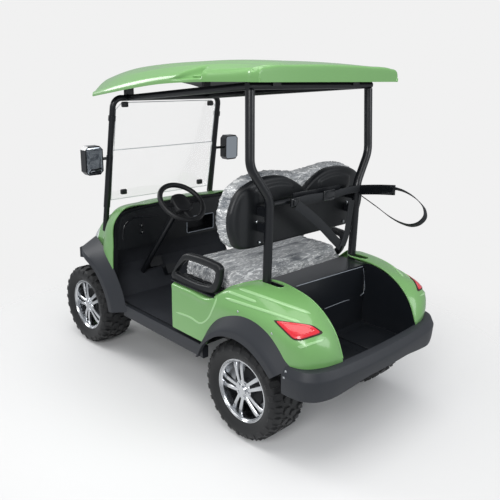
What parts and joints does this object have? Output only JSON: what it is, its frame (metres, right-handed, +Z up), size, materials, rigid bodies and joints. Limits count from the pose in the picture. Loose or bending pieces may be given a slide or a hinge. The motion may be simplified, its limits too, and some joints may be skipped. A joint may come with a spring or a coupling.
{
  "type": "golf cart",
  "caption": "Electric golf cart with a bench seat, roof on struts, clear screen, mirrors, bag well with strap, and machined wheels on lugged tyres.",
  "frame": {"origin": "on the floor under the middle of the cart's box", "axes": "+X forward, +Y to the driver's left, +Z up"},
  "size_m": [2.68, 1.368, 2.074],
  "materials": {
    "body_colour": "glossy painted moulding, light leaf green",
    "black_moulding": "satin textured black moulding",
    "dark_moulding": "matte grained dark grey moulding",
    "strut_paint": "satin black powder coat",
    "frame_paint": "matte black chassis paint",
    "axle_steel": "dull painted castings and tubes",
    "motor_cast": "rough cast housing",
    "battery_case": "moulded case",
    "tyre": "matte rubber",
    "rim": "bright machined face",
    "floor_mat": "ribbed rubber",
    "lamp_clear": "clear lens over a bright bowl",
    "lamp_red": "clear red lens",
    "screen_clear": "clear sheet",
    "gloss_black": "gloss black housing",
    "seat_cover": "grey vinyl under a clear film",
    "wheel_grip": "soft grained grip"
  },
  "bodies": {
    "chassis": {"frame_rails": "frame_paint", "rear_axle": "axle_steel", "drive_motor": "motor_cast", "battery_pack": "battery_case", "front_axle": "axle_steel", "floor_pan": "black_moulding", "floor_mat": "floor_mat", "dashboard": "black_moulding", "cowl_trim": "black_moulding", "front_cowl": "body_colour", "head_lamps": "lamp_clear", "front_grille": "black_moulding", "sills": "dark_moulding", "front_bumper": "dark_moulding", "rear_bumper": "dark_moulding", "front_flares": "dark_moulding", "rear_flares": "dark_moulding", "rear_panel_left": "body_colour", "rear_panel_right": "body_colour", "tail_lamps": "lamp_red", "seat_box": "black_moulding", "bag_well": "black_moulding", "roof": "body_colour", "roof_liner": "black_moulding", "front_strut_left": "strut_paint", "front_strut_right": "strut_paint", "rear_strut_left": "strut_paint", "rear_strut_right": "strut_paint", "roof_frame": "strut_paint", "windscreen_lower": "screen_clear", "windscreen_upper": "screen_clear", "mirrors": "gloss_black", "backrest_shell": "black_moulding", "backrest_cushion": "seat_cover", "armrests": "black_moulding", "bag_holder": "strut_paint", "steering_column": "strut_paint", "pedals": "strut_paint"},
    "wheel_rear_left": {"tyre_rear_left": "tyre", "rim_rear_left": "rim"},
    "wheel_rear_right": {"tyre_rear_right": "tyre", "rim_rear_right": "rim"},
    "wheel_front_left": {"tyre_front_left": "tyre", "rim_front_left": "rim"},
    "wheel_front_right": {"tyre_front_right": "tyre", "rim_front_right": "rim"},
    "steer_knuckle_left": {"knuckle_left": "axle_steel"},
    "steer_knuckle_right": {"knuckle_right": "axle_steel"},
    "hand_wheel": {"steering_wheel": "wheel_grip"},
    "seat": {"seat_base": "black_moulding", "seat_cushion": "seat_cover"},
    "tie_rod": {"track_rod": "axle_steel"}
  },
  "joints": [
    {"name": "rear_left_spin", "type": "hinge", "parent": "chassis", "child": "wheel_rear_left", "pos_m": [-0.765, 0.49, 0.292], "axis": [0, 1, 0], "continuous": true},
    {"name": "rear_right_spin", "type": "hinge", "parent": "chassis", "child": "wheel_rear_right", "pos_m": [-0.765, -0.49, 0.292], "axis": [0, 1, 0], "continuous": true},
    {"name": "steer_left", "type": "hinge", "parent": "chassis", "child": "steer_knuckle_left", "pos_m": [0.925, 0.395, 0.292], "axis": [0, 0, 1], "range_deg": [-28, 28]},
    {"name": "steer_right", "type": "hinge", "parent": "chassis", "child": "steer_knuckle_right", "pos_m": [0.925, -0.395, 0.292], "axis": [0, 0, 1], "range_deg": [-28, 28]},
    {"name": "front_left_spin", "type": "hinge", "parent": "steer_knuckle_left", "child": "wheel_front_left", "pos_m": [0.925, 0.49, 0.292], "axis": [0, 1, 0], "continuous": true},
    {"name": "front_right_spin", "type": "hinge", "parent": "steer_knuckle_right", "child": "wheel_front_right", "pos_m": [0.925, -0.49, 0.292], "axis": [0, 1, 0], "continuous": true},
    {"name": "hand_wheel_turn", "type": "hinge", "parent": "chassis", "child": "hand_wheel", "pos_m": [0.159, 0.28, 1.171], "axis": [-0.6184, 0, 0.7859], "range_deg": [-393, 393]},
    {"name": "tie_rod_slide", "type": "slide", "parent": "chassis", "child": "tie_rod", "axis": [0, 1, 0], "range_m": [-0.0545, 0.0545]},
    {"name": "seat_lift", "type": "hinge", "parent": "chassis", "child": "seat", "pos_m": [-0.625, 0, 0.7923], "axis": [0, -1, 0], "range_deg": [0, 40]}
  ],
  "couplings": [
    {"joint": "steer_right", "follows": "steer_left", "ratio": 1},
    {"joint": "hand_wheel_turn", "follows": "steer_left", "ratio": 14},
    {"joint": "tie_rod_slide", "follows": "steer_left", "m_per_rad": -0.109}
  ]
}
